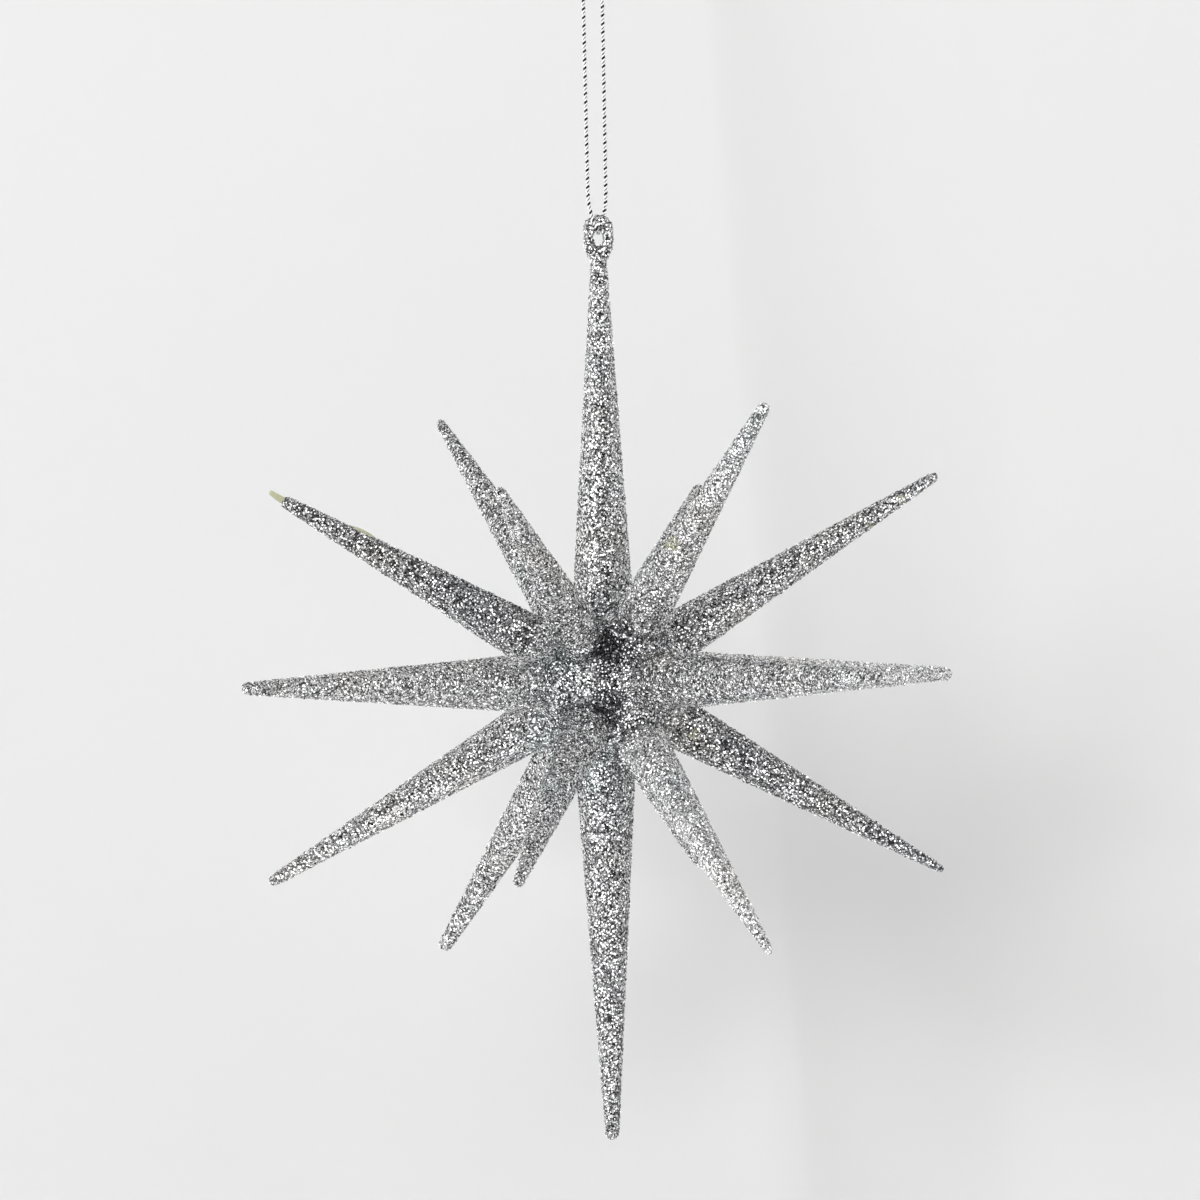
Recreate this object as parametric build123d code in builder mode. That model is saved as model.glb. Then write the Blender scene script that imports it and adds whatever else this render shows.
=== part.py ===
"""Hanging starburst ornament: a ball with tapered spikes plugged into it, hung by a cord loop.

Frame: millimetres, +Z up, -Y is the front. The origin is the top of the cord loop, where a hook bears.
The ball's centre is below it, a little to the left, as the top spike leans to the right. The star's own
level axes are turned about Z from the frame's, so that the long left spike also points forward and the
long front spike also points right.
"""

import os
from math import asin, atan2, cos, degrees, pi, radians, sin, sqrt, tan

from build123d import *

# ball and where it hangs
HANG_DEPTH = 138.0  # hook down to the ball's centre
BALL_R = 15.6
STAR_TURN = 37.3  # degrees from the frame's -X to the left spike, towards the front
TOP_LEAN = 0.5  # how far right of the ball's centre the eye sits
BALL_CENTRE = Vector(-TOP_LEAN, 0, -HANG_DEPTH)

# spikes: radii are those of the cone, at BASE_AT from the ball's centre and near the tip
BASE_AT = 15.0
LONG_LENGTH, LONG_BASE_R, LONG_TIP_R = 86.2, 5.78, 1.25
SHORT_LENGTH, SHORT_BASE_R, SHORT_TIP_R = 74.0, 4.95, 1.0
SEAT_GAP = 0.05  # glue line between a spike's hollow foot and the ball
PEG_R, PEG_LENGTH = 2.0, 3.0
SOCKET_CLEARANCE = 0.05

# moulded eye on the top spike
EYE_AT = 86.2  # ball's centre up to the eye's centre
EYE_THICKNESS = 2.4
CROWN_R, CROWN_RISE = 2.75, 1.1
SHOULDER_R, SHOULDER_OUT, SHOULDER_DROP = 1.0, 1.75, 2.3
THROAT_R, THROAT_DROP = 1.75, 4.0
HOLE_HALF_WIDTH, HOLE_HALF_HEIGHT, HOLE_DROP = 1.0, 1.75, 0.6
EYE_ROUNDING = 0.75
NECK_R, NECK_AT = 1.4, 83.4

# bare gate tab left on one spike's tip
TAB_LENGTH, TAB_WIDTH, TAB_THICKNESS, TAB_ROOT = 3.0, 1.4, 1.1, 4.0
TAB_EDGE = 0.3

# cord: one twisted cord in a loop, knotted at the top
CORD_D = 0.8
CORD_PARTING = 0.15  # gap where the turning bight meets the two strands
KNOT_AT = Vector(0, 0, 3.0)
KNOT_R = 1.4
TAILS = [(-17, -0.55), (12, 0.45)]  # tilt in degrees and root's offset
TAIL_LENGTH = 5.5

TOP_FRONT = [(-0.5, 0, 2.3), (-2.05, -0.1, -0.9)]  # from the knot round the hook
TOP_BACK = [(0.5, 0, 2.3), (1.6, 0.1, -0.9)]
PARTING_FRONT = (-1.9, -1.65, -41.6)
PARTING_BACK = (1.62, 1.65, -41.6)
# down to the eye, through its hole from front to back, and up again
BIGHT = [(-1.8, -1.9, -46.6), (0, -1.9, -51.35), (0, 1.9, -51.35), (1.58, 1.9, -46.6)]

RUN_SHARE = 0.45  # share of the shorter run that a corner's arc takes


def star_direction(left, front, up):
    """A direction given along the star's own axes, in the frame."""
    turn = radians(STAR_TURN)
    left_axis = Vector(-cos(turn), -sin(turn), 0)
    front_axis = Vector(sin(turn), -cos(turn), 0)
    return left_axis * left + front_axis * front + Vector(0, 0, up)


HALF = 0.5
ROOT_HALF = sqrt(0.5)

# name: direction along the star's own axes (left, front, up)
LONG_SPIKES = {
    "spike_left": (1, 0, 0),
    "spike_right": (-1, 0, 0),
    "spike_front": (0, 1, 0),
    "spike_back": (0, -1, 0),
    "spike_bottom": (0, 0, -1),
}
SHORT_SPIKES = {
    "spike_front_upper": (0, ROOT_HALF, ROOT_HALF),
    "spike_front_lower": (0, ROOT_HALF, -ROOT_HALF),
    "spike_back_upper": (0, -ROOT_HALF, ROOT_HALF),
    "spike_back_lower": (0, -ROOT_HALF, -ROOT_HALF),
    "spike_left_front_upper": (ROOT_HALF, HALF, HALF),
    "spike_left_front_lower": (ROOT_HALF, HALF, -HALF),
    "spike_left_back_upper": (ROOT_HALF, -HALF, HALF),
    "spike_left_back_lower": (ROOT_HALF, -HALF, -HALF),
    "spike_right_front_upper": (-ROOT_HALF, HALF, HALF),
    "spike_right_front_lower": (-ROOT_HALF, HALF, -HALF),
    "spike_right_back_upper": (-ROOT_HALF, -HALF, HALF),
    "spike_right_back_lower": (-ROOT_HALF, -HALF, -HALF),
}
TAB_SPIKE = "spike_left_back_upper"

# hand assembly leaves some spikes off true: how far the tip sits to the right and up
LEAN = {
    "spike_front": (-0.2, 0.6),
    "spike_left": (0.1, 0.3),
    "spike_front_lower": (-1.0, 0.5),
    "spike_back_upper": (0.4, -1.0),
    "spike_back_lower": (-0.4, 0.9),
    "spike_left_front_lower": (2.2, -0.4),
    "spike_left_back_upper": (0.2, 0.6),
    "spike_left_back_lower": (-0.6, -0.3),
    "spike_right_front_upper": (0.5, 1.4),
    "spike_right_front_lower": (0.7, -0.6),
    "spike_right_back_upper": (0.4, 0.8),
    "spike_right_back_lower": (-0.6, -0.1),
}
LENGTH_CHANGE = {
    "spike_bottom": 2.2,
    "spike_right": -0.7,
    "spike_front_upper": 0.2,
    "spike_front_lower": -0.7,
    "spike_back_upper": -0.9,
    "spike_back_lower": 0.2,
    "spike_right_front_upper": 1.7,
    "spike_right_front_lower": 1.0,
    "spike_left_back_lower": 1.2,
    TAB_SPIKE: -2.8,
}
# some tips come out of the mould or the coating thinner or thicker
TIP_R_CHANGE = {
    "spike_left": -0.1,
    "spike_front_upper": 0.1,
    "spike_front_lower": -0.2,
    "spike_back_upper": -0.15,
    "spike_back_lower": 0.3,
    "spike_right_front_upper": -0.1,
    "spike_right_front_lower": -0.3,
    "spike_left_back_lower": 0.05,
    TAB_SPIKE: 0.2,
}


def leaned(name, axes, length):
    """The unit direction of a spike, with its lean."""
    right, up = LEAN.get(name, (0, 0))
    return (star_direction(*axes) * length + Vector(right, 0, up)).normalized()


def along(direction):
    """A plane through the ball's centre whose X axis runs out along a spike."""
    side = direction.cross(Vector(0, 0, 1))
    if side.length < 0.01:
        side = Vector(0, 1, 0)
    return Plane(origin=BALL_CENTRE, x_dir=direction, z_dir=side.normalized())


def make_spike(direction, length, base_r, tip_r):
    """A tapered spike as one revolved profile: peg, hollow foot that sits on the ball, cone and round tip."""
    seat_r = BALL_R + SEAT_GAP
    slope = atan2(base_r - tip_r, length - tip_r - BASE_AT)
    axis_r = base_r + BASE_AT * tan(slope)  # the cone's radius, carried back to the ball's centre
    peg_angle = asin(PEG_R / seat_r)
    foot_angle = asin(axis_r * cos(slope) / seat_r) - slope
    foot_edge = (seat_r * cos(foot_angle), seat_r * sin(foot_angle))
    tip_x = length - tip_r
    tangent = (tip_x + tip_r * sin(slope), tip_r * cos(slope))
    peg_x = BALL_R - PEG_LENGTH
    with BuildSketch(along(direction)) as profile:
        with BuildLine():
            Polyline((length, 0), (peg_x, 0), (peg_x, PEG_R), (seat_r * cos(peg_angle), PEG_R))
            CenterArc((0, 0), seat_r, degrees(peg_angle), degrees(foot_angle - peg_angle))
            Line(foot_edge, tangent)
            CenterArc((tip_x, 0), tip_r, 0, 90 - degrees(slope))
        make_face()
    revolve(profile.sketch, axis=Axis(BALL_CENTRE, direction))


def write(piece, name):
    piece.label = name
    export_step(piece, f"parts/{name}.step")


os.makedirs("parts", exist_ok=True)

top_direction = Vector(TOP_LEAN, 0, EYE_AT).normalized()
peg_directions = [top_direction]

# plain spikes
for spikes, full_length, base_r, tip_r in (
    (LONG_SPIKES, LONG_LENGTH, LONG_BASE_R, LONG_TIP_R),
    (SHORT_SPIKES, SHORT_LENGTH, SHORT_BASE_R, SHORT_TIP_R),
):
    for name, axes in spikes.items():
        length = full_length + LENGTH_CHANGE.get(name, 0)
        direction = leaned(name, axes, length)
        peg_directions.append(direction)
        with BuildPart() as spike:
            make_spike(direction, length, base_r, tip_r + TIP_R_CHANGE.get(name, 0))
            if name == TAB_SPIKE:
                tab_start = BALL_CENTRE + direction * (length - TAB_ROOT)
                with BuildSketch(Plane(origin=tab_start, x_dir=(0, 1, 0), z_dir=direction)):
                    RectangleRounded(TAB_THICKNESS, TAB_WIDTH, TAB_EDGE)
                extrude(amount=TAB_ROOT + TAB_LENGTH)
        write(spike.part, name)

# eye: a ring with a round crown and square shoulders, its oval hole running from front to back
EYE_CENTRE = BALL_CENTRE + Vector(TOP_LEAN, 0, EYE_AT)
with BuildPart() as eye:
    eye_front = EYE_CENTRE - Vector(0, EYE_THICKNESS / 2, 0)
    with BuildSketch(Plane(origin=eye_front, x_dir=(1, 0, 0), z_dir=(0, -1, 0))):
        with Locations((0, CROWN_RISE)):
            Circle(CROWN_R)
        with Locations((SHOULDER_OUT, -SHOULDER_DROP), (-SHOULDER_OUT, -SHOULDER_DROP)):
            Circle(SHOULDER_R)
        with Locations((0, -THROAT_DROP)):
            Circle(THROAT_R)
        make_hull()
        with Locations((0, -HOLE_DROP)):
            Ellipse(HOLE_HALF_WIDTH, HOLE_HALF_HEIGHT, mode=Mode.SUBTRACT)
    extrude(amount=-EYE_THICKNESS)
    rims = eye.edges().group_by(Axis.Y)
    fillet(rims[0] + rims[-1], EYE_ROUNDING)

# top spike, moulded in one with the eye
with BuildPart() as spike_top:
    make_spike(top_direction, NECK_AT, LONG_BASE_R, NECK_R)
    add(eye.part)
write(spike_top.part, "spike_top")

# ball with a blind socket for each spike
with BuildPart() as hub_ball:
    with Locations(BALL_CENTRE):
        Sphere(BALL_R)
    for direction in peg_directions:
        socket_floor = BALL_CENTRE + direction * (BALL_R - PEG_LENGTH - SOCKET_CLEARANCE)
        with BuildSketch(Plane(origin=socket_floor, z_dir=direction)):
            Circle(PEG_R + SOCKET_CLEARANCE)
        extrude(amount=PEG_LENGTH + 1, mode=Mode.SUBTRACT)
write(hub_ball.part, "hub_ball")


def corner_radii(points):
    """The arc at each corner of a route, as large as its two runs allow."""
    radii = []
    for before, here, after in zip(points, points[1:], points[2:]):
        turn = (here - before).get_angle(after - here)
        shorter = min((here - before).length, (after - here).length)
        radii.append(RUN_SHARE * shorter / tan(radians(turn / 2)))
    return radii


def make_tube(points):
    """A round tube of the cord's thickness along straight runs joined by tangent arcs."""
    radii = corner_radii(points)
    print("cord tube radii, mm:", [round(r, 2) for r in radii])
    with BuildLine() as route:
        FilletPolyline(*points, radius=radii)
    path = route.wire()
    with BuildSketch(Plane(origin=path @ 0, z_dir=path % 0)) as section:
        Circle(CORD_D / 2)
    sweep(section.sketch, path=path)
    volume = path.length * pi * CORD_D**2 / 4
    print("cord tube length, mm:", round(path.length, 2), "volume:", round(volume, 2))


with BuildPart() as cord_strand_front:
    make_tube([Vector(*p) for p in [*TOP_FRONT, PARTING_FRONT]])
write(cord_strand_front.part, "cord_strand_front")

with BuildPart() as cord_strand_back:
    make_tube([Vector(*p) for p in [*TOP_BACK, PARTING_BACK]])
write(cord_strand_back.part, "cord_strand_back")

with BuildPart() as cord_bight:
    lower = Vector(0, 0, CORD_PARTING)
    ends = [Vector(*PARTING_FRONT) - lower, Vector(*PARTING_BACK) - lower]
    make_tube([ends[0], *[Vector(*p) for p in BIGHT], ends[1]])
write(cord_bight.part, "cord_bight")

# overhand knot with its two cut tails
with BuildPart() as cord_knot:
    with Locations(KNOT_AT):
        Sphere(KNOT_R)
    for tilt, offset in TAILS:
        tail_direction = Vector(sin(radians(tilt)), 0, cos(radians(tilt)))
        with BuildSketch(Plane(origin=KNOT_AT + Vector(offset, 0, 0), z_dir=tail_direction)):
            Circle(CORD_D / 2)
        extrude(amount=TAIL_LENGTH)
write(cord_knot.part, "cord_knot")
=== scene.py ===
"""Looks of a hanging starburst ornament: glittered spikes and ball, a moulded eye, a twisted cord loop.

Metres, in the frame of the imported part: +Z up, -Y the front, the origin at the top of the cord loop.
"""

from math import cos, pi, radians, sin, tau

import bmesh
import bpy
import numpy as np
from mathutils import Matrix, Vector


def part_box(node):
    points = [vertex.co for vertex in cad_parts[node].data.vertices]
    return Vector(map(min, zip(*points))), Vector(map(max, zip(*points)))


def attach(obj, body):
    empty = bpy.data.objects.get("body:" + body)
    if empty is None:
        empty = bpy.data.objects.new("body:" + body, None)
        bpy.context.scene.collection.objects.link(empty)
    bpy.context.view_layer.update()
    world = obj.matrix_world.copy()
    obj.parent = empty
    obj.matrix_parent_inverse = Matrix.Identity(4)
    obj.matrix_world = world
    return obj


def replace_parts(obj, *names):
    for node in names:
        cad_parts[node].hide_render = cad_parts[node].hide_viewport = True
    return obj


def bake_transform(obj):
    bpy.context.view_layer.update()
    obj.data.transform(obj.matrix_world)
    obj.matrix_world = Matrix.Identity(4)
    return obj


MM = 0.001

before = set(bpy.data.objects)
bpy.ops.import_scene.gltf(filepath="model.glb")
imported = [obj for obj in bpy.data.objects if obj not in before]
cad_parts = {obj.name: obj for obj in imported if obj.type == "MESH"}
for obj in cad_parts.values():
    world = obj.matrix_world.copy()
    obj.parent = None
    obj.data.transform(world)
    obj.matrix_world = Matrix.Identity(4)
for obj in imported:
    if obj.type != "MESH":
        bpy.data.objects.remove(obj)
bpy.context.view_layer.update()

# ball and spikes, from the frame
ball_low, ball_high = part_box("hub_ball")
BALL_CENTRE = (ball_low + ball_high) / 2
BALL_R = (ball_high.z - ball_low.z) / 2
SPIKES = sorted(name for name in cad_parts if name.startswith("spike_"))
TAB_SPIKE = "spike_left_back_upper"
TIP_DEPTH = 0.3 * MM  # a spike's tip is what lies this near to its end

# glitter: a faceted crust of glue and flakes, with loose foil hexagons lying on it
CRUST_CELL = 0.32 * MM
CRUST_JITTER = 0.065 * MM
FLAKE_SIDES = 6
FLAKE_R = 0.17 * MM
FLAKE_R_SPREAD = 0.22  # standard deviation, as a share of the radius
FLAKE_R_LIMITS = (0.6, 1.5)  # smallest and largest flake, as shares of the radius
FLAKES_PER_MM2 = 7.5
FLAKE_TILT = radians(24)  # standard deviation
FLAKE_LIFT = (0.02 * MM, 0.16 * MM)
STRAY_SHARE = 0.03  # flakes that stand on edge
STRAY_TILT = (radians(50), radians(85))

# specks of bare plastic in the coat's front: right of and above the ball's centre, and reach
BARE_SPECKS_MM = [(57.9, 34.1, 0.9), (51.9, 29.6, 0.7), (13.6, 26.1, 1.5), (17.2, -10.4, 1.1)]
SPECK_DEPTH_MM = 1.8  # coat further back than this behind the ball's centre has no specks
SPECK_SHARE = 0.5  # share of a speck's facets that are bare

# build-up of the coat round the spikes' feet, with angles taken at the ball's centre
FOOT_ANGLE = radians(18.5)
FILLET_ANGLE = radians(9)
FILLET_UNDER_FOOT = radians(4)  # how far the build-up goes on under a foot
FILLET_RISE = 1.6 * MM
FILLET_CAP = 1.3  # highest build-up where feet are close, as a share of the rise
BALL_SKIN = 0.4 * MM  # what lies deeper than this in the ball is a socket's wall

# bare gate tab and flash left on one spike
TAB_OUT = 3.0 * MM
TAB_WIDTH = 1.4 * MM
TAB_THICKNESS = 1.1 * MM
TAB_CORNERS = 0.5  # power of a round's sine and cosine: 1 is an ellipse, less is squarer
COAT_GAP = 0.1 * MM  # between the coat's end and the tab's shoulder
# the flash's ends from the ball's centre, and its other sizes, in millimetres
FLASH_FROM, FLASH_TO = 51.2, 57.8
FLASH_HALF_HEIGHT, FLASH_HALF_THICKNESS = 0.6, 0.9
FLASH_SUNK = 0.25  # how far its middle line lies under the spike's edge
FLASH_BLUNTNESS = 0.7  # power of the sine that swells it: less is blunter
FLASH_THIN_END = 0.05  # its ends, as a share of its middle
FLASH_STATIONS = 9
TAPER_OVER_R = 1.5 * MM  # the spike's taper is measured where its radius is over this
SLIVER_SIDES = 16

# cord: its route is one spline, and these are its control points
CORD_D = 0.8 * MM
CORD_ROUTE_MM = [
    (-0.5, 0, 2.3),
    (-2.05, -0.1, -0.9),
    (-2.08, -0.2, -5.7),
    (-1.9, -1.65, -41.6),
    (-1.8, -1.9, -46.6),
    (0, -1.9, -51.35),
    (0, 1.9, -51.35),
    (1.58, 1.9, -46.6),
    (1.62, 1.65, -41.6),
    (1.62, 0.2, -5.7),
    (1.6, 0.1, -0.9),
    (0.5, 0, 2.3),
]
PLY_R = 0.21 * MM
PLY_PITCH = 1.64 * MM
PLY_SIDES = 8
PLY_STEP = 0.09 * MM
LIT_GAP_LIFT = 0.32  # painted light: one of the two gaps between the plies counts as shallower, so it is painted lighter, as if lit from that side
CUT_END_DEPTH = 0.8  # how far out a ply's cut end counts as lying: it comes out dark
ROUTE_STEPS = 24  # points on the route for each control point
KNOT_CENTRE = Vector((0, 0, 3.0 * MM))
KNOT_LOBE = 0.42 * MM
KNOT_WIDTH, KNOT_THICKNESS = 0.75, 1.3  # of its lobes, as shares of a plain trefoil knot's
KNOT_STEPS = 60
TAILS = [(-17, -0.55), (12, 0.45)]  # tilt in degrees and root's offset in millimetres
TAIL_LENGTH = 5.5 * MM
TAIL_STEPS = 12


# ---------------------------------------------------------------- materials


def new_material(name):
    material = bpy.data.materials.new(name)
    material.use_nodes = True
    return material, material.node_tree.nodes, material.node_tree.links


def ramp(nodes, links, value, stops):
    """The colour that a value from 0 to 1 stands for, with a colour at each stop."""
    node = nodes.new("ShaderNodeValToRGB")
    elements = node.color_ramp.elements
    while len(elements) < len(stops):
        elements.new(0.5)
    for element, (place, colour) in zip(elements, stops):
        element.position = place
        element.color = (*colour, 1)
    links.new(value, node.inputs["Fac"])
    return node.outputs["Color"]


def rescaled(nodes, links, value, before, after):
    """A value moved from one range to another, and kept within it."""
    node = nodes.new("ShaderNodeMapRange")
    node.inputs["From Min"].default_value, node.inputs["From Max"].default_value = before
    node.inputs["To Min"].default_value, node.inputs["To Max"].default_value = after
    links.new(value, node.inputs["Value"])
    return node.outputs["Result"]


def noise(nodes, links, scale, detail):
    """Soft noise from 0 to 1 through the piece's own space."""
    place = nodes.new("ShaderNodeTexCoord")
    node = nodes.new("ShaderNodeTexNoise")
    node.inputs["Scale"].default_value = scale
    node.inputs["Detail"].default_value = detail
    links.new(place.outputs["Object"], node.inputs["Vector"])
    return node.outputs["Fac"]


def facet_value(nodes):
    """The value that each face of a mesh was given by set_facets."""
    facet = nodes.new("ShaderNodeAttribute")
    facet.attribute_name = "facet"
    return facet.outputs["Fac"]


UNIT_RANGE = (0.0, 1.0)
# the dark end of these tones is painted reflection, flakes darkened as if they mirrored something dark;
# the bright end is the foil's own
FLAKE_TONES = [
    (0.0, (0.10, 0.10, 0.105)),
    (0.2, (0.45, 0.45, 0.46)),
    (0.45, (0.8, 0.8, 0.81)),
    (1.0, (0.97, 0.97, 0.97)),
]
FLAKE_ROUGHNESS = (0.03, 0.15)
# the crust is painted mostly near black: partly the duller glue, partly painted shade between the flakes
CRUST_TONES = [
    (0.0, (0.02, 0.02, 0.022)),
    (0.2, (0.035, 0.035, 0.037)),
    (0.6, (0.16, 0.16, 0.165)),
    (1.0, (0.8, 0.8, 0.8)),
]
CRUST_ROUGHNESS = (0.1, 0.35)
TINT_SCALE = 55.0
FOIL_TINTS = [
    (0.30, (1.0, 0.99, 0.96)),
    (0.45, (1.0, 1.0, 1.0)),
    (0.58, (1.0, 1.0, 1.0)),
    (0.72, (0.95, 1.0, 0.99)),
]


def glitter_material(name, tones, roughness):
    """Silver foil: each facet has its own tone and gloss, the tone partly painted shade and painted
    reflection, and patches lean to teal or to yellow.
    """
    material, nodes, links = new_material(name)
    shader = nodes["Principled BSDF"]
    shader.inputs["Metallic"].default_value = 1.0
    facet = facet_value(nodes)
    tint = ramp(nodes, links, noise(nodes, links, TINT_SCALE, detail=2.0), FOIL_TINTS)
    mix = nodes.new("ShaderNodeMix")
    mix.data_type = "RGBA"
    mix.blend_type = "MULTIPLY"
    mix.inputs["Factor"].default_value = 1.0
    links.new(ramp(nodes, links, facet, tones), mix.inputs["A"])
    links.new(tint, mix.inputs["B"])
    links.new(mix.outputs["Result"], shader.inputs["Base Color"])
    scatter = nodes.new("ShaderNodeTexWhiteNoise")
    scatter.noise_dimensions = "1D"
    links.new(facet, scatter.inputs["W"])
    gloss = rescaled(nodes, links, scatter.outputs["Value"], UNIT_RANGE, roughness)
    links.new(gloss, shader.inputs["Roughness"])
    return material


# lowest and highest facet value of a coat
SPIKE_TONES = (0.14, 1.0)
# spikes painted darker or brighter than most, as painted shade and painted light for how the lamps fall on
# each
SPIKE_LIGHT_TONES = {
    "spike_left_back_upper": (0.03, 0.82),
    "spike_right_front_lower": (0.05, 0.8),
    "spike_bottom": (0.1, 0.9),
    "spike_right_front_upper": (0.12, 0.93),
    "spike_back_upper": (0.12, 0.95),
    "spike_left_back_lower": (0.22, 1.0),
    "spike_left": (0.24, 1.0),
    "spike_right": (0.55, 1.0),
    "spike_front_upper": (0.3, 1.0),
    "spike_front_lower": (0.52, 1.0),
}
# the ball's coat is a little darker than the spikes': partly glue dulling it, partly painted shade among
# the spikes' feet
BALL_TONES = (0.12, 0.85)
# painted shade: the darkest tones, given to facets at a pit's core
PIT_SHADE_TONES = (0.0, 0.15)
# painted shade: dark patches in the hollows between the spikes' feet, where shade falls; direction from
# the ball's centre, and reach
SHADED_PITS = [((0.06, -0.92, 0.39), 5.8 * MM), ((0.03, -0.95, -0.31), 4.6 * MM)]
PIT_CORE = 0.35  # share of a pit's reach that is darkest all over

CLOUD_SCALE = 900.0
PLASTIC_COLOURS = [(0.3, (0.30, 0.31, 0.2)), (0.7, (0.38, 0.38, 0.26))]
PLASTIC_ROUGHNESS = (0.25, 0.5)


def plastic_material():
    """Bare pale yellow-green plastic, slightly milky."""
    material, nodes, links = new_material("bare_plastic")
    shader = nodes["Principled BSDF"]
    shader.inputs["IOR"].default_value = 1.5
    shader.inputs["Subsurface Weight"].default_value = 0.35
    shader.inputs["Subsurface Radius"].default_value = (0.9, 1.0, 0.6)
    shader.inputs["Subsurface Scale"].default_value = 0.6 * MM
    cloud = noise(nodes, links, CLOUD_SCALE, detail=3.0)
    links.new(ramp(nodes, links, cloud, PLASTIC_COLOURS), shader.inputs["Base Color"])
    gloss = rescaled(nodes, links, cloud, UNIT_RANGE, PLASTIC_ROUGHNESS)
    links.new(gloss, shader.inputs["Roughness"])
    return material


# by how far out from the cord's middle the foil lies: near black deep between the plies, as painted shade
CORD_TONES = [
    (0.0, (0.003, 0.003, 0.004)),
    (0.84, (0.004, 0.004, 0.005)),
    (0.92, (0.12, 0.12, 0.125)),
    (0.96, (0.9, 0.9, 0.91)),
]
WRAP_SCALE = 5200.0
WRAP_HEIGHT = 0.05 * MM
CORD_ROUGHNESS = (0.18, 0.42)


def cord_material():
    """Metallic yarn: foil wraps along each ply, with painted shade, dark where the plies press together.
    """
    material, nodes, links = new_material("silver_cord")
    shader = nodes["Principled BSDF"]
    shader.inputs["Metallic"].default_value = 1.0
    links.new(ramp(nodes, links, facet_value(nodes), CORD_TONES), shader.inputs["Base Color"])
    wraps = noise(nodes, links, WRAP_SCALE, detail=1.0)
    bump = nodes.new("ShaderNodeBump")
    bump.inputs["Strength"].default_value = 0.6
    bump.inputs["Distance"].default_value = WRAP_HEIGHT
    links.new(wraps, bump.inputs["Height"])
    links.new(bump.outputs["Normal"], shader.inputs["Normal"])
    gloss = rescaled(nodes, links, wraps, UNIT_RANGE, CORD_ROUGHNESS)
    links.new(gloss, shader.inputs["Roughness"])
    return material


FLAKE = glitter_material("glitter_flake", FLAKE_TONES, FLAKE_ROUGHNESS)
CRUST = glitter_material("glitter_crust", CRUST_TONES, CRUST_ROUGHNESS)
PLASTIC = plastic_material()
CORD = cord_material()


# ---------------------------------------------------------------- glitter coat


def add_piece(name, mesh, body):
    piece = bpy.data.objects.new(name, mesh)
    bpy.context.scene.collection.objects.link(piece)
    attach(piece, body)
    return piece


def remeshed(source, cell):
    """The source's shape as an even net of small quads."""
    helper = bpy.data.objects.new("helper", source.data.copy())
    bpy.context.scene.collection.objects.link(helper)
    remesh = helper.modifiers.new("net", "REMESH")
    remesh.mode = "VOXEL"
    remesh.voxel_size = cell
    bpy.context.view_layer.update()
    made = bpy.data.meshes.new_from_object(helper.evaluated_get(bpy.context.evaluated_depsgraph_get()))
    bpy.data.objects.remove(helper)
    return made


def mesh_arrays(mesh):
    points = np.zeros(len(mesh.vertices) * 3)
    mesh.vertices.foreach_get("co", points)
    mesh.calc_loop_triangles()
    triangles = np.zeros(len(mesh.loop_triangles) * 3, int)
    mesh.loop_triangles.foreach_get("vertices", triangles)
    return points.reshape(-1, 3), triangles.reshape(-1, 3)


def unit(vectors):
    return vectors / np.maximum(np.linalg.norm(vectors, axis=1, keepdims=True), 1e-12)


def scattered(mesh, per_area, chance):
    """Random places spread evenly over a mesh, with the surface's normal at each."""
    points, triangles = mesh_arrays(mesh)
    a, b, c = (points[triangles[:, corner]] for corner in range(3))
    cross = np.cross(b - a, c - a)
    areas = np.linalg.norm(cross, axis=1) / 2
    count = int(areas.sum() * per_area)
    picked = chance.choice(len(areas), count, p=areas / areas.sum())
    u = chance.random((count, 1))
    v = chance.random((count, 1))
    beyond = u + v > 1
    u = np.where(beyond, 1 - u, u)
    v = np.where(beyond, 1 - v, v)
    places = a[picked] + u * (b - a)[picked] + v * (c - a)[picked]
    return places, unit(cross[picked])


def tilted(normals, chance):
    """Each normal leaned by a random angle in a random direction; a few flakes stand on edge."""
    count = len(normals)
    side = unit(np.cross(normals, chance.normal(size=(count, 3))))
    angle = np.abs(chance.normal(0, FLAKE_TILT, count))
    stray = chance.random(count) < STRAY_SHARE
    angle[stray] = chance.uniform(*STRAY_TILT, stray.sum())
    angle = angle[:, None]
    return normals * np.cos(angle) + side * np.sin(angle)


def flake_corners(places, normals, chance):
    """The corners of one foil hexagon at each place, lifted a little off the surface."""
    count = len(places)
    leaned = tilted(normals, chance)
    across = unit(np.cross(leaned, chance.normal(size=(count, 3))))
    along = np.cross(leaned, across)
    share = (1 + FLAKE_R_SPREAD * chance.normal(size=(count, 1))).clip(*FLAKE_R_LIMITS)
    radius = FLAKE_R * share
    centre = places + normals * chance.uniform(*FLAKE_LIFT, (count, 1))
    turns = np.arange(FLAKE_SIDES) * tau / FLAKE_SIDES
    corners = [centre + radius * (across * cos(turn) + along * sin(turn)) for turn in turns]
    return np.stack(corners, axis=1)


def set_facets(mesh, values):
    """Gives each face the value that its material turns into a tone."""
    facet = mesh.attributes.new("facet", "FLOAT", "FACE")
    facet.data.foreach_set("value", values.astype(np.float32))


def shaded_tones(tones):
    """A picker of facet values: random between the tones, but dark near the pits, as painted shade in the
    hollows between the spikes' feet.
    """

    def pick(places, chance):
        openness = np.ones(len(places))
        for direction, reach in SHADED_PITS:
            pit = np.array(BALL_CENTRE) + BALL_R * np.array(direction)
            far = np.linalg.norm(places - pit, axis=1) / reach
            openness = np.minimum(openness, np.clip((far - PIT_CORE) / (1 - PIT_CORE), 0, 1))
        # painted shade: near a pit the tones sink towards the pit's tones
        low, high = (PIT_SHADE_TONES[i] + (tones[i] - PIT_SHADE_TONES[i]) * openness for i in (0, 1))
        return low + (high - low) * chance.random(len(places))

    return pick


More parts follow.
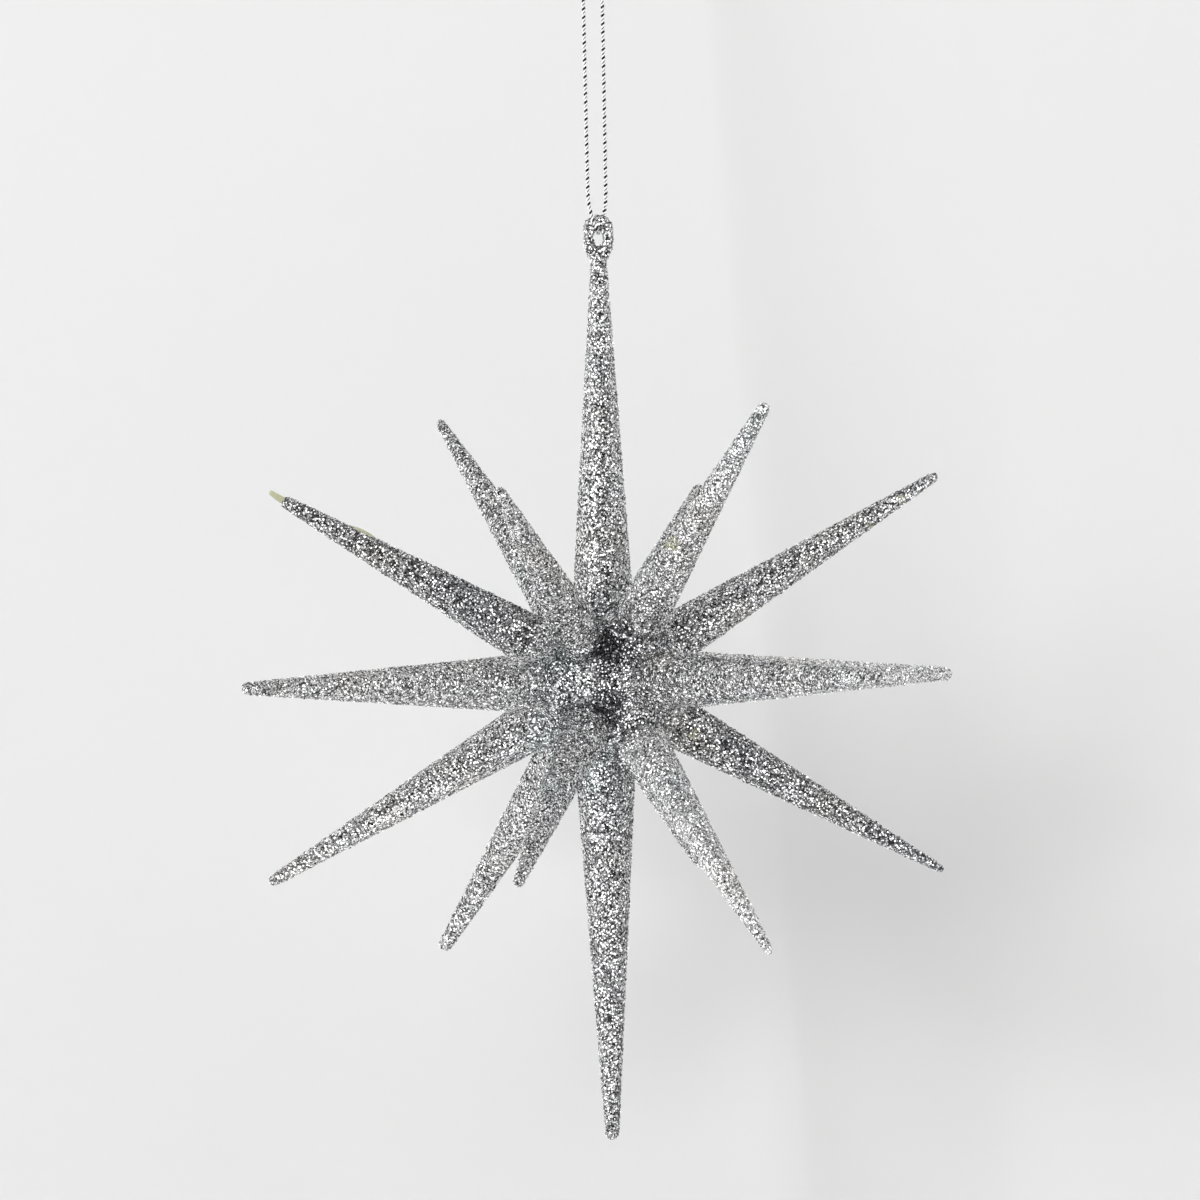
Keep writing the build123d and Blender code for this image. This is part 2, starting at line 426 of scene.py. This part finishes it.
def face_places(points, faces):
    """The middle of each face."""
    return np.array([points[list(face)].mean(axis=0) for face in faces])


def bare_specks(places, chance):
    """Which facets of the coat are bare plastic."""
    away = (places - np.array(BALL_CENTRE)) / MM
    bare = np.zeros(len(places), bool)
    for right, up, reach in BARE_SPECKS_MM:
        near = np.hypot(away[:, 0] - right, away[:, 2] - up) < reach
        bare |= near & (away[:, 1] < SPECK_DEPTH_MM) & (chance.random(len(places)) < SPECK_SHARE)
    return bare


def coated(node_name, seed, keep_flake, tones, cut=None, swell=None):
    """A node's glitter coat: the faceted crust and the flakes on it, as one mesh.

    Flakes stay where keep_flake says, tones picks each face's value, cut is the plane that
    the coat ends at, and swell reshapes the surface that the coat is made on.
    """
    chance = np.random.default_rng(seed)
    net = remeshed(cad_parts[node_name], CRUST_CELL)
    if cut:
        cut_beyond(net, *cut)
    if swell:
        swell(net)
    places, normals = scattered(net, FLAKES_PER_MM2 / MM**2, chance)
    kept = keep_flake(places)
    hexagons = flake_corners(places[kept], normals[kept], chance)
    crust_points = np.zeros(len(net.vertices) * 3)
    net.vertices.foreach_get("co", crust_points)
    crust_points = crust_points.reshape(-1, 3)
    crust_points += chance.normal(0, CRUST_JITTER, crust_points.shape)
    crust_faces = [tuple(polygon.vertices) for polygon in net.polygons]
    first = len(crust_points)
    flake_faces = (np.arange(len(hexagons) * FLAKE_SIDES) + first).reshape(-1, FLAKE_SIDES)
    mesh = bpy.data.meshes.new("glitter_" + node_name)
    points = np.concatenate([crust_points, hexagons.reshape(-1, 3)])
    mesh.from_pydata(points.tolist(), [], crust_faces + flake_faces.tolist())
    mesh.materials.append(CRUST)
    mesh.materials.append(FLAKE)
    mesh.polygons.foreach_set("use_smooth", np.zeros(len(mesh.polygons), bool))
    centres = np.concatenate([face_places(points, crust_faces), hexagons.mean(axis=1)])
    set_facets(mesh, tones(centres, chance))
    bare = bare_specks(centres, chance)
    if bare.any():
        mesh.materials.append(PLASTIC)
    slots = np.zeros(len(mesh.polygons), int)  # crust
    slots[len(crust_faces) :] = 1  # flakes
    slots[bare] = 2  # bare plastic
    mesh.polygons.foreach_set("material_index", slots)
    bpy.data.meshes.remove(net)
    return mesh


def cut_beyond(mesh, place, direction):
    """Cuts a mesh off beyond a plane, and closes the cut."""
    work = bmesh.new()
    work.from_mesh(mesh)
    everything = work.verts[:] + work.edges[:] + work.faces[:]
    bmesh.ops.bisect_plane(work, geom=everything, plane_co=place, plane_no=direction, clear_outer=True)
    bmesh.ops.holes_fill(work, edges=[edge for edge in work.edges if edge.is_boundary])
    work.to_mesh(mesh)
    work.free()


def outside_ball(places):
    return np.linalg.norm(places - np.array(BALL_CENTRE), axis=1) > BALL_R


def spike_line(node_name):
    """A spike's unit direction from the ball's centre, and how far its end is."""
    points, _ = mesh_arrays(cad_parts[node_name].data)
    away = points - np.array(BALL_CENTRE)
    far = np.linalg.norm(away, axis=1)
    tip = away[far > far.max() - TIP_DEPTH].mean(axis=0)
    return Vector(tip).normalized(), float(far.max())


for seed, spike_name in enumerate(SPIKES, start=1):
    cut = None
    if spike_name == TAB_SPIKE:
        tab_direction, tab_reach = spike_line(spike_name)
        coat_end = tab_reach - TAB_OUT - COAT_GAP
        cut = (BALL_CENTRE + tab_direction * coat_end, tab_direction)
    # painted shade and light: some spikes get their own darker or brighter tones
    tones = shaded_tones(SPIKE_LIGHT_TONES.get(spike_name, SPIKE_TONES))
    coat = coated(spike_name, seed, outside_ball, tones, cut)
    piece = add_piece("glitter_" + spike_name, coat, "star")
    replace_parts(piece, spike_name)

spike_axes = [spike_line(name)[0] for name in SPIKES]


def angles_to_spikes(places):
    """For each place, its angles at the ball's centre to the spikes, nearest first."""
    away = unit(places - np.array(BALL_CENTRE))
    facing = np.array([away @ np.array(axis) for axis in spike_axes])
    return np.sort(np.arccos(np.clip(facing, -1, 1)), axis=0)


def between_spikes(places):
    """Places on the ball that no spike's foot covers and that aren't in a socket."""
    far = np.linalg.norm(places - np.array(BALL_CENTRE), axis=1)
    return (far > BALL_R - BALL_SKIN) & (angles_to_spikes(places)[0] > FOOT_ANGLE)


def fillet(mesh):
    """Glue and glitter gather round the spikes' feet: the ball's coat rises towards each."""
    points = np.zeros(len(mesh.vertices) * 3)
    mesh.vertices.foreach_get("co", points)
    points = points.reshape(-1, 3)
    angles = angles_to_spikes(points)
    near_feet = np.clip((FOOT_ANGLE + FILLET_ANGLE - angles[:3]) / FILLET_ANGLE, 0, 1)
    rise = (near_feet**2).sum(axis=0)
    away = points - np.array(BALL_CENTRE)
    on_skin = np.linalg.norm(away, axis=1) > BALL_R - BALL_SKIN
    rise = np.where(on_skin & (angles[0] > FOOT_ANGLE - FILLET_UNDER_FOOT), rise, 0)
    points += unit(away) * (np.minimum(rise, FILLET_CAP) * FILLET_RISE)[:, None]
    mesh.vertices.foreach_set("co", points.ravel())
    mesh.update()


BALL_SEED = 100
ball_coat = coated("hub_ball", BALL_SEED, between_spikes, shaded_tones(BALL_TONES), swell=fillet)
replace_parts(add_piece("glitter_hub_ball", ball_coat, "star"), "hub_ball")


# ---------------------------------------------------------------- bare plastic


tab_up = Vector((0, 0, 1))
tab_up = (tab_up - tab_direction * tab_up.dot(tab_direction)).normalized()
tab_side = tab_direction.cross(tab_up)


def tongue(name, stations, turn_power):
    """A bare sliver along the tab's spike, through stations in millimetres.

    A station is how far out and up its middle is, and its half height and half thickness.
    """
    work = bmesh.new()
    rings = []
    for out, up, half_height, half_thickness in stations:
        centre = BALL_CENTRE + tab_direction * (out * MM) + tab_up * (up * MM)
        ring = []
        for step in range(SLIVER_SIDES):
            turn = tau * step / SLIVER_SIDES
            high = abs(cos(turn)) ** turn_power * (1 if cos(turn) > 0 else -1)
            thick = abs(sin(turn)) ** turn_power * (1 if sin(turn) > 0 else -1)
            offset = tab_up * (high * half_height * MM) + tab_side * (thick * half_thickness * MM)
            ring.append(work.verts.new(centre + offset))
        rings.append(ring)
    for lower, upper in zip(rings, rings[1:]):
        for step in range(SLIVER_SIDES):
            after = (step + 1) % SLIVER_SIDES
            work.faces.new((lower[step], lower[after], upper[after], upper[step]))
    work.faces.new(rings[0][::-1])
    work.faces.new(rings[-1])
    bmesh.ops.recalc_face_normals(work, faces=work.faces[:])
    mesh = bpy.data.meshes.new(name)
    work.to_mesh(mesh)
    work.free()
    for polygon in mesh.polygons:
        polygon.use_smooth = True
    mesh.materials.append(PLASTIC)
    return mesh


tab_end = tab_reach / MM
half_width = TAB_WIDTH / MM / 2
half_thickness = TAB_THICKNESS / MM / 2
TAB_STATIONS = [
    (tab_end - 7.0, 0.0, half_width, half_thickness),
    (tab_end - 3.0, 0.0, half_width, half_thickness),
    (tab_end - 1.5, 0.05, half_width * 0.88, half_thickness * 0.9),
    (tab_end - 0.5, 0.12, half_width * 0.74, half_thickness * 0.8),
    (tab_end - 0.1, 0.16, half_width * 0.6, half_thickness * 0.6),
    (tab_end, 0.18, half_width * 0.3, half_thickness * 0.3),
]
add_piece("bare_tab", tongue("bare_tab", TAB_STATIONS, TAB_CORNERS), "star")


def flash_stations():
    """The flash follows the spike's upper edge and is thickest in its middle."""
    stations = []
    for step in range(FLASH_STATIONS):
        share = step / (FLASH_STATIONS - 1)
        out = FLASH_FROM + (FLASH_TO - FLASH_FROM) * share
        up = edge_radius(out) - FLASH_SUNK
        swell = max(sin(pi * share) ** FLASH_BLUNTNESS, FLASH_THIN_END)
        stations.append((out, up, FLASH_HALF_HEIGHT * swell, FLASH_HALF_THICKNESS * swell))
    return stations


def edge_radius(out):
    """The tab spike's radius in mm, at a distance from the ball's centre in mm."""
    points, _ = mesh_arrays(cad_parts[TAB_SPIKE].data)
    away = points - np.array(BALL_CENTRE)
    along = away @ np.array(tab_direction)
    across = np.linalg.norm(away - along[:, None] * np.array(tab_direction), axis=1)
    outside = (along > BALL_R) & (across > TAPER_OVER_R)
    slope, start = np.polyfit(along[outside], across[outside], 1)
    return (start + slope * out * MM) / MM


add_piece("bare_flash", tongue("bare_flash", flash_stations(), 1.0), "star")


# ---------------------------------------------------------------- cord


def route_points(points_mm):
    """The smooth line of a spline with those control points, as points in a row."""
    curve = bpy.data.curves.new("route", "CURVE")
    curve.dimensions = "3D"
    curve.resolution_u = ROUTE_STEPS
    spline = curve.splines.new("NURBS")
    spline.points.add(len(points_mm) - 1)
    for point, place in zip(spline.points, points_mm):
        point.co = (*(x * MM for x in place), 1)
    spline.order_u = 3
    spline.use_endpoint_u = True
    helper = bpy.data.objects.new("helper", curve)
    mesh = bpy.data.meshes.new_from_object(helper)
    line = np.array([vertex.co for vertex in mesh.vertices], float)
    bpy.data.objects.remove(helper)
    bpy.data.meshes.remove(mesh)
    return line


def evenly(line, step):
    """The line as points a step apart, and how far along it each is."""
    along = np.concatenate([[0], np.cumsum(np.linalg.norm(np.diff(line, axis=0), axis=1))])
    at = np.linspace(0, along[-1], int(along[-1] / step) + 1)
    return np.stack([np.interp(at, along, line[:, k]) for k in range(3)], axis=1), at


def carried_frames(line):
    """Two directions square to the line at each point, carried along it without twist."""
    tangents = unit(np.gradient(line, axis=0))
    first = np.cross(tangents[0], (0.0, 1.0, 0.0))
    sides = [first / np.linalg.norm(first)]
    for tangent in tangents[1:]:
        side = sides[-1] - tangent * (sides[-1] @ tangent)
        sides.append(side / np.linalg.norm(side))
    sides = np.array(sides)
    return sides, np.cross(tangents, sides)


def twisted_cord(line):
    """Points and faces of two plies twisted round a line, and how far out from it each face lies.

    The material paints what lies deep in the gap between the plies dark, as painted shade.
    """
    centre, at = evenly(line, PLY_STEP)
    side, up = carried_frames(centre)
    all_points, all_faces, all_depths = [], [], []
    for start, lit_side in ((0, 1), (pi, -1)):
        turn = (at / PLY_PITCH * tau + start)[:, None]
        outward = side * np.cos(turn) + up * np.sin(turn)
        around = up * np.cos(turn) - side * np.sin(turn)
        ply = centre + outward * (CORD_D / 2 - PLY_R)
        ply_side, ply_up = carried_frames(ply)
        first = sum(len(points) for points in all_points)
        rings = []
        for corner in range(PLY_SIDES):
            angle = tau * corner / PLY_SIDES
            rings.append(ply + PLY_R * (ply_side * cos(angle) + ply_up * sin(angle)))
        points = np.stack(rings, axis=1)
        depth = np.linalg.norm(points - centre[:, None, :], axis=2) / (CORD_D / 2)
        sideways = ((points - ply[:, None, :]) * around[:, None, :]).sum(axis=2) / PLY_R
        # painted light: one side of each ply is painted lighter
        depth += LIT_GAP_LIFT * np.clip(sideways * lit_side, 0, 1)
        count = len(ply)
        for i in range(count - 1):
            for corner in range(PLY_SIDES):
                after = (corner + 1) % PLY_SIDES
                low = first + i * PLY_SIDES
                high = low + PLY_SIDES
                all_faces.append((low + corner, low + after, high + after, high + corner))
                all_depths.append((depth[i, corner] + depth[i, after]) / 2)
        all_faces.append(tuple(first + corner for corner in reversed(range(PLY_SIDES))))
        last = first + (count - 1) * PLY_SIDES
        all_faces.append(tuple(last + corner for corner in range(PLY_SIDES)))
        all_depths += [CUT_END_DEPTH, CUT_END_DEPTH]
        all_points.append(points.reshape(-1, 3))
    return np.concatenate(all_points), all_faces, all_depths


def cord_mesh(name, lines):
    """Twisted cord along each of some lines, as one mesh."""
    points, faces, depths = [], [], []
    for line in lines:
        first = sum(len(part) for part in points)
        some_points, some_faces, some_depths = twisted_cord(line)
        points.append(some_points)
        faces += [tuple(first + vertex for vertex in face) for face in some_faces]
        depths += some_depths
    mesh = bpy.data.meshes.new(name)
    mesh.from_pydata(np.concatenate(points).tolist(), [], faces)
    mesh.polygons.foreach_set("use_smooth", np.ones(len(faces), bool))
    set_facets(mesh, np.array(depths))
    mesh.materials.append(CORD)
    return mesh


cord_line = route_points(CORD_ROUTE_MM)
cord = bpy.data.objects.new("cord", cord_mesh("cord", [cord_line]))
bpy.context.scene.collection.objects.link(cord)
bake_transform(cord)
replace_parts(cord, "cord_strand_front", "cord_strand_back", "cord_bight")


def knot_lines():
    """An overhand knot's three-lobed line and its two tails."""
    turns = np.linspace(0, tau, KNOT_STEPS)
    lobes = np.stack(
        [
            (np.sin(turns) + 2 * np.sin(2 * turns)) * KNOT_LOBE * KNOT_WIDTH,
            -np.sin(3 * turns) * KNOT_LOBE * KNOT_THICKNESS,
            (np.cos(turns) - 2 * np.cos(2 * turns)) * KNOT_LOBE,
        ],
        axis=1,
    )
    lines = [lobes + np.array(KNOT_CENTRE)]
    for tilt, offset in TAILS:
        direction = np.array((sin(radians(tilt)), 0, cos(radians(tilt))))
        root = np.array(KNOT_CENTRE) + np.array((offset * MM, 0, 0))
        steps = np.linspace(0, TAIL_LENGTH, TAIL_STEPS)
        lines.append(root + steps[:, None] * direction)
    return lines


knot = add_piece("cord_knot_tied", cord_mesh("cord_knot_tied", knot_lines()), "cord_loop")
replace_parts(knot, "cord_knot")


# ---------------------------------------------------------------- stage, light and camera

WALL_Y = 0.14
FLOOR_Z = -0.36
SWEEP_R = 0.1
SWEEP_STEPS = 12
STAGE_HALF_WIDTH = 2.5
STAGE_FRONT = -4.5
WALL_TOP = 2.2
PAPER_GREY = 0.63
CREASE_X = 0.033  # where it passes behind the ball
CREASE_LEAN = 0.066  # how far it leans to the left, for each unit of rise
CREASE_WIDTH = 0.04
CREASE_DEPTH = 0.009
CREASE_BLUR = 0.002
CREASE_STEPS = 10


def stage_material():
    """Pale matt paper, seen from its front only, so that the ornament shows from behind too."""
    material, nodes, links = new_material("backdrop")
    shader = nodes["Principled BSDF"]
    shader.inputs["Roughness"].default_value = 0.9
    shader.inputs["Specular IOR Level"].default_value = 0.0
    shader.inputs["Base Color"].default_value = (PAPER_GREY, PAPER_GREY, PAPER_GREY, 1)
    clear = nodes.new("ShaderNodeBsdfTransparent")
    side = nodes.new("ShaderNodeNewGeometry")
    pick = nodes.new("ShaderNodeMixShader")
    links.new(side.outputs["Backfacing"], pick.inputs["Fac"])
    links.new(shader.outputs["BSDF"], pick.inputs[1])
    links.new(clear.outputs["BSDF"], pick.inputs[2])
    links.new(pick.outputs["Shader"], nodes["Material Output"].inputs["Surface"])
    return material


def crease_depth(x):
    """How far the paper stands back right of its crease: a sharp bend back, which flattens out."""
    share = min(max((x - CREASE_X) / CREASE_WIDTH, 0.0), 1.0)
    return CREASE_DEPTH * (1 - (1 - share) ** 2)


def make_stage():
    """A floor that sweeps up into a wall of paper, with one shallow upright crease."""
    profile = [(STAGE_FRONT, FLOOR_Z), (WALL_Y - SWEEP_R, FLOOR_Z)]
    for step in range(1, SWEEP_STEPS):
        turn = pi / 2 * step / SWEEP_STEPS
        y = WALL_Y - SWEEP_R + SWEEP_R * sin(turn)
        profile.append((y, FLOOR_Z + SWEEP_R * (1 - cos(turn))))
    wall_from = len(profile)
    profile += [(WALL_Y, FLOOR_Z + SWEEP_R), (WALL_Y, WALL_TOP)]
    leaning = [CREASE_X - CREASE_BLUR, CREASE_X]
    # two steps more than the bend has, where the paper is flat again
    steps = range(1, CREASE_STEPS + 3)
    leaning += [CREASE_X + CREASE_WIDTH * step / CREASE_STEPS for step in steps]
    columns = [-STAGE_HALF_WIDTH, *leaning, STAGE_HALF_WIDTH]
    points = []
    for column, x in enumerate(columns):
        for row, (y, z) in enumerate(profile):
            inner = 0 < column < len(columns) - 1
            lean = CREASE_LEAN * (z - BALL_CENTRE.z) if inner else 0.0
            back = crease_depth(x) if row >= wall_from else 0.0
            points.append((x - lean, y + back, z))
    count = len(profile)
    faces = []
    for column in range(len(columns) - 1):
        for row in range(count - 1):
            low = column * count + row
            faces.append((low, low + count, low + count + 1, low + 1))
    mesh = bpy.data.meshes.new("backdrop")
    mesh.from_pydata(points, [], faces)
    mesh.materials.append(stage_material())
    for polygon in mesh.polygons:
        polygon.use_smooth = True
    stage = bpy.data.objects.new("backdrop", mesh)
    bpy.context.scene.collection.objects.link(stage)
    stage.visible_glossy = False
    stage.visible_shadow = False


make_stage()


def greys(*stops):
    return [(place, (value, value, value)) for place, value in stops]


PANEL_SCALE = 3.6
BRIGHT_SIDE = (-0.88, 0.0, -0.47)  # left, and lower than the ball
SIDE_STRENGTHS = (0.76, 1.26)  # away from the bright side, and on it
TENT_TO_ROOM = (-0.25, -0.6)  # y of a direction: over the first is all tent, under the second all room
SEEN_GREY = 0.82
ROOM_PANELS = greys((0.0, 0.005), (0.43, 0.015), (0.48, 0.4), (0.58, 1.05), (0.66, 2.25), (1.0, 3.0))
TENT_PANELS = greys((0.0, 0.6), (0.3, 0.88), (0.7, 1.2), (1.0, 1.6))


def make_world():
    """A studio for the foil to mirror, plain and pale to the eye.

    In front is a dark room with bright panels, and round the rest a pale tent of patches.
    """
    world = bpy.data.worlds.new("studio")
    bpy.context.scene.world = world
    world.use_nodes = True
    nodes, links = world.node_tree.nodes, world.node_tree.links
    place = nodes.new("ShaderNodeTexCoord")
    panels = nodes.new("ShaderNodeTexVoronoi")
    panels.inputs["Scale"].default_value = PANEL_SCALE
    links.new(place.outputs["Generated"], panels.inputs["Vector"])
    split = nodes.new("ShaderNodeSeparateColor")
    links.new(panels.outputs["Color"], split.inputs["Color"])
    room = ramp(nodes, links, split.outputs["Red"], ROOM_PANELS)
    tent = ramp(nodes, links, split.outputs["Green"], TENT_PANELS)
    direction = nodes.new("ShaderNodeSeparateXYZ")
    links.new(place.outputs["Generated"], direction.inputs["Vector"])
    frontness = rescaled(nodes, links, direction.outputs["Y"], TENT_TO_ROOM, UNIT_RANGE)
    mixed = nodes.new("ShaderNodeMix")
    mixed.data_type = "RGBA"
    links.new(frontness, mixed.inputs["Factor"])
    links.new(tent, mixed.inputs["A"])
    links.new(room, mixed.inputs["B"])
    toward = nodes.new("ShaderNodeVectorMath")
    toward.operation = "DOT_PRODUCT"
    toward.inputs[1].default_value = BRIGHT_SIDE
    links.new(place.outputs["Generated"], toward.inputs[0])
    strength = rescaled(nodes, links, toward.outputs["Value"], (-1.0, 1.0), SIDE_STRENGTHS)
    studio = nodes["Background"]
    links.new(mixed.outputs["Result"], studio.inputs["Color"])
    links.new(strength, studio.inputs["Strength"])
    seen = nodes.new("ShaderNodeBackground")
    seen.inputs["Color"].default_value = (SEEN_GREY, SEEN_GREY, SEEN_GREY, 1)
    path = nodes.new("ShaderNodeLightPath")
    pick = nodes.new("ShaderNodeMixShader")
    links.new(path.outputs["Is Camera Ray"], pick.inputs["Fac"])
    links.new(studio.outputs["Background"], pick.inputs[1])
    links.new(seen.outputs["Background"], pick.inputs[2])
    links.new(pick.outputs["Shader"], nodes["World Output"].inputs["Surface"])


make_world()


def add_light(name, place, size, power):
    """A square soft light that faces the ball."""
    data = bpy.data.lights.new(name, "AREA")
    data.shape = "SQUARE"
    data.size = size
    data.energy = power
    light = bpy.data.objects.new(name, data)
    light.location = place
    light.visible_glossy = False
    light.rotation_mode = "QUATERNION"
    light.rotation_quaternion = (BALL_CENTRE - Vector(place)).to_track_quat("-Z", "Y")
    bpy.context.scene.collection.objects.link(light)


KEY_FROM_BALL = Vector((-0.54, -1.4, 0.38))
KEY_SIZE = 0.38
KEY_POWER = 10  # watts
add_light("key_left", BALL_CENTRE + KEY_FROM_BALL, KEY_SIZE, KEY_POWER)

VIEW_DISTANCE = 3.0
VIEW_WIDTH = 231.6 * MM  # what the picture spans at the ball
VIEW_RISE = radians(0.1)  # the camera looks down by this much
VIEW_ROLL = radians(1.06)
BALL_TO_RIGHT = 0.77 * MM  # of the picture's middle
BALL_BELOW = 15.76 * MM


def make_camera():
    """A long lens from the front, nearly level, aimed a little above the ball."""
    data = bpy.data.cameras.new("camera")
    data.sensor_width = 36.0
    data.lens = data.sensor_width * VIEW_DISTANCE / VIEW_WIDTH
    data.clip_start = 0.05
    data.clip_end = 50.0
    camera = bpy.data.objects.new("camera", data)
    bpy.context.scene.collection.objects.link(camera)
    back = Vector((0, -cos(VIEW_RISE), sin(VIEW_RISE)))
    right = Vector((cos(VIEW_ROLL), 0, -sin(VIEW_ROLL)))
    up = back.cross(right)
    right = up.cross(back)
    aim = BALL_CENTRE - right * BALL_TO_RIGHT + up * BALL_BELOW
    turn = Matrix((right, up, back)).transposed()
    camera.matrix_world = Matrix.LocRotScale(aim + back * VIEW_DISTANCE, turn.to_quaternion(), None)
    bpy.context.scene.camera = camera


make_camera()
bpy.context.scene.view_settings.view_transform = "Standard"
